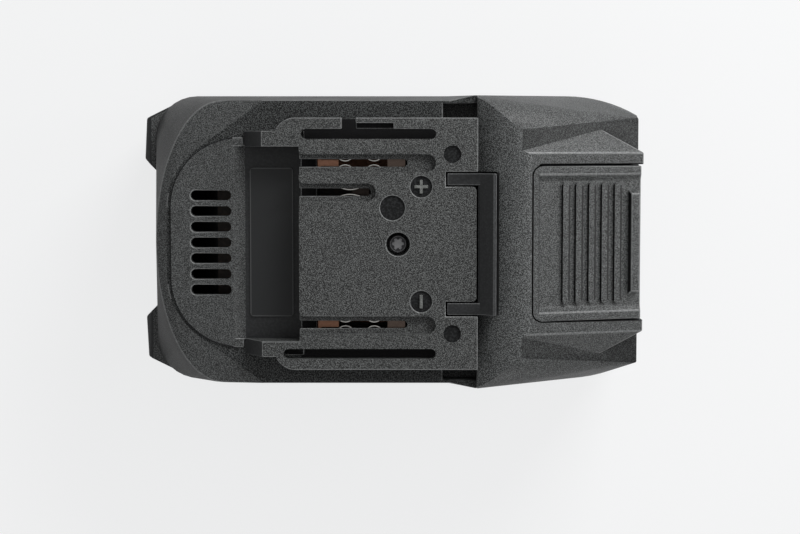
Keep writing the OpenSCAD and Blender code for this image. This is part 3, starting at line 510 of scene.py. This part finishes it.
# Tints, which paint shade and highlights
SHADE_LINE_COLOR = (0.008, 0.008, 0.0085)
UNLIT_COLOR = (0.004, 0.004, 0.0045)
PAD_HIGHLIGHT_COLOR = (0.065, 0.067, 0.068)
BRIDGE_SHADE_COLOR = (0.16, 0.12, 0.10)
LEAF_FOOT_SHADE_COLOR = (0.05, 0.04, 0.035)
REAR_SHADE = (0.55, 0.55, 0.55)
DIM_X = (-20, 45)
HOOK_LINE_W = 0.85
RIB_FOOT_W = 0.52
PAD_LINE_W = 0.3
PAD_SLACK = 0.05
LIP_INSET = 0.3
GROUND_SLACK = 0.4
LEAF_EDGE_H = 0.6


def parts_of(tree, kind, output):
    """The X, Y and Z parts of a vector that a node of some kind gives out."""
    source = tree.nodes.new(kind)
    parts = tree.nodes.new("ShaderNodeSeparateXYZ")
    tree.links.new(source.outputs[output], parts.inputs["Vector"])
    return parts.outputs


def multiply(tree, first, second):
    node = tree.nodes.new("ShaderNodeMath")
    node.operation = "MULTIPLY"
    tree.links.new(first, node.inputs[0])
    tree.links.new(second, node.inputs[1])
    return node.outputs["Value"]


def recolor(tree, factor, color, blend):
    """Blends a colour into the shader's base colour by a factor."""
    base_color = tree.nodes["Principled BSDF"].inputs["Base Color"]
    mix = tree.nodes.new("ShaderNodeMix")
    mix.data_type = "RGBA"
    mix.blend_type = blend
    tree.links.new(factor, mix.inputs["Factor"])
    tree.links.new(base_color.links[0].from_socket, mix.inputs["A"])
    mix.inputs["B"].default_value = (*color, 1)
    tree.links.new(mix.outputs["Result"], base_color)


def tint(slot, color, ranges):
    """Gives the material of a slot another colour in a box; ranges are (axis, low, high)."""
    tree = MATERIALS[slot].node_tree
    place = parts_of(tree, "ShaderNodeTexCoord", "Object")
    inside = None
    for axis, low, high in ranges:
        test = tree.nodes.new("ShaderNodeMath")
        test.operation = "COMPARE"
        test.inputs[1].default_value = (low + high) / 2 * MM
        test.inputs[2].default_value = (high - low) / 2 * MM
        tree.links.new(place[axis], test.inputs[0])
        result = test.outputs["Value"]
        inside = multiply(tree, inside, result) if inside else result
    recolor(tree, inside, color, "MIX")


def paint_rear_wall_shade():
    """Painted shade: upright walls of the housing get darker towards the rear."""
    tree = MATERIALS["housing"].node_tree
    facing = parts_of(tree, "ShaderNodeNewGeometry", "Normal")
    place = parts_of(tree, "ShaderNodeTexCoord", "Object")
    upright = map_range(tree, facing["Z"], 1, 0, 0.3, 0.75)
    rearward = map_range(tree, place["X"], 1, 0, DIM_X[0] * MM, DIM_X[1] * MM)
    recolor(tree, multiply(tree, upright, rearward), REAR_SHADE, "MULTIPLY")


def paint_pad_highlight():
    """The pad in the terminal pocket gets a paler outline, a painted highlight along its edges."""
    faces = [polygon for polygon in cover.data.polygons if on_pad(polygon.center / MM, polygon.normal)]
    corners = [cover.data.vertices[i].co / MM for polygon in faces for i in polygon.vertices]
    low_x, high_x = min(corner.x for corner in corners), max(corner.x for corner in corners)
    low_y, high_y = min(corner.y for corner in corners), max(corner.y for corner in corners)
    for color, inset in ((PAD_HIGHLIGHT_COLOR, 0), (SMOOTH_COLOR, PAD_LINE_W)):
        tint("smooth", color, [("X", low_x + inset, high_x - inset), ("Y", low_y + inset, high_y - inset),
                               ("Z", pad_z - PAD_SLACK, pad_z + PAD_SLACK)])


paint_rear_wall_shade()
paint_pad_highlight()

# Painted shade: the ramp is dark along the latch hook, and so are the grip ribs' feet on their far side
hook_end = deck_high.x + HOOK_FRONT_L
tint("ramp", SHADE_LINE_COLOR, [("X", hook_end, hook_end + HOOK_LINE_W), ("Y", -HOOK_HALF_W, HOOK_HALF_W)])
for i in range(RIB_COUNT):
    foot = RIB_END_X + i * RIB_PITCH_X
    tint("button", SHADE_LINE_COLOR, [("X", foot, foot + RIB_FOOT_W), ("Y", -RIB_HALF_L, RIB_HALF_L)])

# Painted shade: the shoulder is dark where the slots in the rail lips open on it, and so are the contacts'
# bridge and feet deep in the slots
lip_reach = LIP_HALF_W - LIP_INSET
tint("shoulder", UNLIT_COLOR, [("X", contact_face_x, deck_high.x), ("Y", -lip_reach, lip_reach),
                               ("Z", shoulder_z - GROUND_SLACK, shoulder_z + GROUND_SLACK)])
tint("contact", BRIDGE_SHADE_COLOR, [("X", bridge_end - BRIDGE_L, bridge_end)])
tint("contact", LEAF_FOOT_SHADE_COLOR, [("Z", 0, leaf_top - LEAF_EDGE_H)])


# Latch springs and polarity signs
SIGN_FROM_DECK_END = 14.2
SIGN_Y = 14.4
SIGN_L = 3.4
SIGN_W = 0.75
SIGN_H = 0.9 * DISC_DEPTH
SIGN_ROUNDING = 0.08
half_l, half_w = SIGN_L / 2, SIGN_W / 2
MINUS = [(half_w, half_l), (-half_w, half_l), (-half_w, -half_l), (half_w, -half_l)]
PLUS = [(half_w, half_w), (half_w, half_l), (-half_w, half_l), (-half_w, half_w), (-half_l, half_w),
        (-half_l, -half_w), (-half_w, -half_w), (-half_w, -half_l), (half_w, -half_l), (half_w, -half_w),
        (half_l, -half_w), (half_l, half_w)]


def add_springs():
    """A smooth-shaded copy of the latch springs in spring steel, riding on the housing's body."""
    mesh = nodes["latch_springs"].data.copy()
    springs = add_object("latch_springs_wound", mesh)
    for polygon in mesh.polygons:
        polygon.use_smooth = True
    dress(springs, "spring_steel")
    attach(springs, "housing")
    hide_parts("latch_springs")
    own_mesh(springs)


def add_sign(name, y, outline):
    """Raised sign with an outline of (x, y) points on the floor of its disc."""
    x = deck_high.x - SIGN_FROM_DECK_END
    floor_z = deck_high.z - DISC_DEPTH
    form = bmesh.new()
    foot = form.faces.new([form.verts.new(((x + a) * MM, (y + b) * MM, floor_z * MM)) for a, b in outline])
    raised = bmesh.ops.extrude_face_region(form, geom=[foot])["geom"]
    bmesh.ops.translate(form, vec=(0, 0, SIGN_H * MM),
                        verts=[g for g in raised if isinstance(g, bmesh.types.BMVert)])
    bmesh.ops.recalc_face_normals(form, faces=form.faces)
    bmesh.ops.bevel(form, geom=form.edges[:], offset=SIGN_ROUNDING * MM, segments=2, affect="EDGES",
                    profile=0.5)
    mesh = bpy.data.meshes.new(name)
    form.to_mesh(mesh)
    form.free()
    sign = add_object(name, mesh)
    dress(sign, "sign")
    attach(sign, "housing")


add_springs()
add_sign("plus_sign", SIGN_Y, PLUS)
add_sign("minus_sign", -SIGN_Y, MINUS)


# Camera, floor and light
CAMERA_PLACE = (2.5, 27.3, 541.3)
CAMERA_TILT = -4
LENS = 85
SENSOR = 36
FLOOR_L = 6000
FLOOR_MOTTLE_MM = 400
PAPER_COLOR = (0.955, 0.96, 0.965)
PAPER_SHARE = 0.8


def add_camera():
    data = bpy.data.cameras.new("camera")
    data.lens = LENS
    data.sensor_width = SENSOR
    camera = add_object("camera", data)
    camera.location = [v * MM for v in CAMERA_PLACE]
    camera.rotation_euler = (math.radians(CAMERA_TILT), 0, 0)
    scene.camera = camera


def add_floor():
    """Pale floor, which the camera sees mostly as evenly lit paper."""
    bpy.ops.mesh.primitive_plane_add(size=FLOOR_L * MM, location=(0, 0, 0))
    floor = bpy.context.object
    floor.name = "floor"
    material, tree, shader = new_material("pale_floor")
    tone = ramp(tree, noise(tree, FLOOR_MOTTLE_MM), [(0.3, (0.75, 0.755, 0.76)), (0.7, (0.78, 0.78, 0.785))])
    tree.links.new(tone, shader.inputs["Base Color"])
    shader.inputs["Roughness"].default_value = 0.9
    shader.inputs["Specular IOR Level"].default_value = 0
    path = tree.nodes.new("ShaderNodeLightPath")
    paper = tree.nodes.new("ShaderNodeEmission")
    paper.inputs["Color"].default_value = (*PAPER_COLOR, 1)
    mix = tree.nodes.new("ShaderNodeMixShader")
    tree.links.new(map_range(tree, path.outputs["Is Camera Ray"], 0, PAPER_SHARE, 0, 1), mix.inputs[0])
    tree.links.new(shader.outputs["BSDF"], mix.inputs[1])
    tree.links.new(paper.outputs["Emission"], mix.inputs[2])
    tree.links.new(mix.outputs["Shader"], tree.nodes["Material Output"].inputs["Surface"])
    floor.data.materials.append(material)


def add_lamp(name, place, target, size, power):
    """White rectangular lamp that shines from a place at a target."""
    data = bpy.data.lights.new(name, "AREA")
    data.shape = "RECTANGLE"
    data.size, data.size_y = (v * MM for v in size)
    data.energy = power
    lamp = add_object(name, data)
    lamp.location = [v * MM for v in place]
    aim = Vector(target) - Vector(place)
    lamp.rotation_euler = aim.to_track_quat("-Z", "Y").to_euler()


def add_world(strength):
    world = bpy.data.worlds.new("studio")
    world.use_nodes = True
    background = world.node_tree.nodes["Background"]
    background.inputs["Color"].default_value = (1, 1, 1, 1)
    background.inputs["Strength"].default_value = strength
    scene.world = world


add_camera()
add_floor()
add_lamp("key", (230, 385, 360), (0, 0, 60), (260, 260), 2.3)
add_lamp("side", (450, 75, 280), (0, 0, 60), (230, 230), 0.55)
add_lamp("bounce", (60, -900, 220), (0, 0, 50), (900, 300), 2)
add_world(0.36)
scene.view_settings.view_transform = "Standard"
